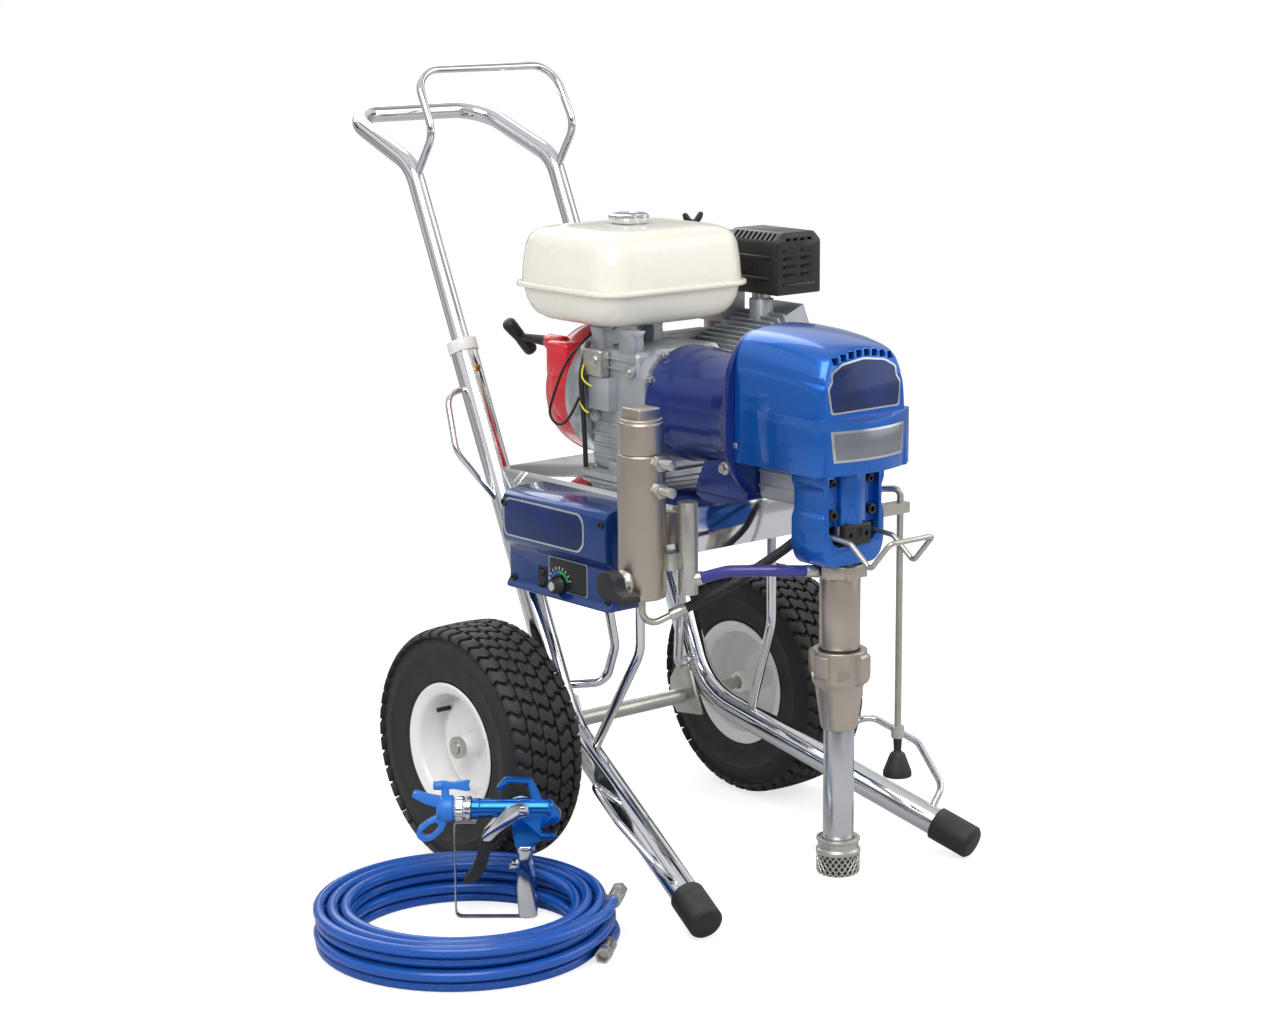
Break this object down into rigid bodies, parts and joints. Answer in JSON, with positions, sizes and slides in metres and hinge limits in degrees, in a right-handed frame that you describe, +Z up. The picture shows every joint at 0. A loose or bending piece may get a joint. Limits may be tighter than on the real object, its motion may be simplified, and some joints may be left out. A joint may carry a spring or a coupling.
{
  "type": "airless paint sprayer",
  "caption": "Petrol-driven piston paint pump on a two-wheeled chromed cart with telescopic handle, manifold, control box, spray gun and coiled hose.",
  "frame": {"origin": "middle of the bottom of the outer box, on the floor the machine stands on, measured without the free hose", "axes": "+Z up, -Y towards the pump end, +Y towards the push handle, +X towards the muffler side"},
  "size_m": [0.97, 1.054, 1.0545],
  "materials": {
    "chrome": "bright chrome plating",
    "zinc_steel": "zinc plated steel",
    "cap_rubber": "matt black rubber",
    "white_plastic": "moulded plastic",
    "cast_aluminium": "cast and blasted",
    "tank_cream": "glossy cream paint",
    "bright_cap": "polished",
    "shroud_grey": "grey paint",
    "starter_red": "glossy red paint",
    "black_plastic": "moulded plastic",
    "black_steel": "heat-proof black paint",
    "housing_blue": "blue enamel",
    "cover_blue": "metallic blue paint",
    "pump_nickel": "satin nickel plating",
    "control_navy": "metallic navy paint",
    "dial_panel": "printed panel",
    "hose_blue": "smooth polymer jacket",
    "gun_blue": "anodised blue",
    "tyre_rubber": "turf tread rubber",
    "rim_white": "white enamel"
  },
  "bodies": {
    "cart": {"air_cleaner": "black_plastic", "axle": "zinc_steel", "axle_carrier": "zinc_steel", "bearing_housing": "housing_blue", "blower_shroud": "shroud_grey", "clutch_housing": "housing_blue", "control_box": "control_navy", "crankcase_cover": "cast_aluminium", "deck_bolts": "zinc_steel", "deck_plate": "chrome", "dial_plate": "dial_panel", "drain_deflector": "cap_rubber", "drain_hose": "cap_rubber", "drain_pipes": "zinc_steel", "drive_housing": "cast_aluminium", "engine_block": "cast_aluminium", "engine_cylinder": "cast_aluminium", "engine_fittings": "cast_aluminium", "filter_cap": "pump_nickel", "filter_housing": "pump_nickel", "foot_caps": "cap_rubber", "frame_struts": "chrome", "front_cover": "cover_blue", "fuel_tank": "tank_cream", "gun_body": "gun_blue", "gun_grip": "chrome", "gun_guard": "zinc_steel", "gun_tip_guard": "gun_blue", "handle_bushes": "white_plastic", "hose_coil": "hose_blue", "hose_fittings": "zinc_steel", "hose_hooks": "chrome", "intake_valve": "pump_nickel", "leg_hoops": "chrome", "muffler": "zinc_steel", "muffler_guard": "black_steel", "outlet_fittings": "zinc_steel", "pump_cylinder": "pump_nickel", "pump_hose": "hose_blue", "pump_nut": "pump_nickel", "side_tube_left": "chrome", "side_tube_right": "chrome", "starter_cover": "starter_red", "strainer": "pump_nickel", "suction_tube": "zinc_steel"},
    "handle": {"handle": "chrome"},
    "wheel_right": {"tyre_right": "tyre_rubber", "rim_right": "rim_white"},
    "wheel_left": {"tyre_left": "tyre_rubber", "rim_left": "rim_white"},
    "fuel_cap": {"fuel_cap": "bright_cap"},
    "starter_grip": {"starter_grip": "black_plastic"},
    "prime_valve": {"prime_valve_knob": "black_plastic"},
    "pressure_knob": {"pressure_knob": "black_plastic"},
    "power_switch": {"power_switch": "black_plastic"},
    "pail_hook": {"pail_hook": "zinc_steel"},
    "piston_rod": {"piston_rod": "pump_nickel"},
    "crankshaft": {"crankshaft": "zinc_steel"},
    "gun_trigger": {"gun_trigger": "chrome"},
    "gun_tip": {"gun_tip": "gun_blue"}
  },
  "joints": [
    {"name": "handle_slide", "type": "slide", "parent": "cart", "child": "handle", "axis": [0, 0.4141, 0.9102], "range_m": [-0.22, 0]},
    {"name": "wheel_right_spin", "type": "hinge", "parent": "cart", "child": "wheel_right", "pos_m": [0.33091, 0.0345, 0.165], "axis": [1, 0, 0], "continuous": true},
    {"name": "wheel_left_spin", "type": "hinge", "parent": "cart", "child": "wheel_left", "pos_m": [-0.18809, 0.0345, 0.165], "axis": [1, 0, 0], "continuous": true},
    {"name": "fuel_cap_turn", "type": "hinge", "parent": "cart", "child": "fuel_cap", "pos_m": [0.08641, 0.0395, 0.85], "axis": [0, 0, 1], "range_deg": [0, 90]},
    {"name": "starter_pull", "type": "slide", "parent": "cart", "child": "starter_grip", "axis": [0, 1, 0], "range_m": [0, 0.35], "stiffness_N_per_m": 40, "springref_m": -0.1},
    {"name": "prime_valve_turn", "type": "hinge", "parent": "cart", "child": "prime_valve", "pos_m": [-0.15859, -0.2275, 0.425], "axis": [1, 0, 0], "range_deg": [0, 90]},
    {"name": "pressure_knob_turn", "type": "hinge", "parent": "cart", "child": "pressure_knob", "pos_m": [-0.12359, -0.0625, 0.39], "axis": [1, 0, 0], "range_deg": [0, 270]},
    {"name": "power_switch_rock", "type": "hinge", "parent": "cart", "child": "power_switch", "pos_m": [-0.11859, -0.0235, 0.393], "axis": [0, 1, 0], "range_deg": [-7, 7]},
    {"name": "pail_hook_swing", "type": "hinge", "parent": "cart", "child": "pail_hook", "pos_m": [0.07141, -0.4105, 0.489], "axis": [1, 0, 0], "range_deg": [-45, 0]},
    {"name": "pump_stroke", "type": "slide", "parent": "cart", "child": "piston_rod", "axis": [0, 0, 1], "range_m": [0, 0.024]},
    {"name": "crank_spin", "type": "hinge", "parent": "cart", "child": "crankshaft", "pos_m": [0.07141, -0.0655, 0.62], "axis": [0, 1, 0], "continuous": true},
    {"name": "trigger_pull", "type": "hinge", "parent": "cart", "child": "gun_trigger", "pos_m": [-0.28309, -0.18618, 0.147], "axis": [-0.6626, -0.749, 0], "range_deg": [0, 18], "stiffness_Nm_per_rad": 0.5, "springref_deg": -20.05},
    {"name": "tip_turn", "type": "hinge", "parent": "cart", "child": "gun_tip", "pos_m": [-0.35724, -0.12058, 0.15], "axis": [0, 0, 1], "range_deg": [0, 180]}
  ]
}
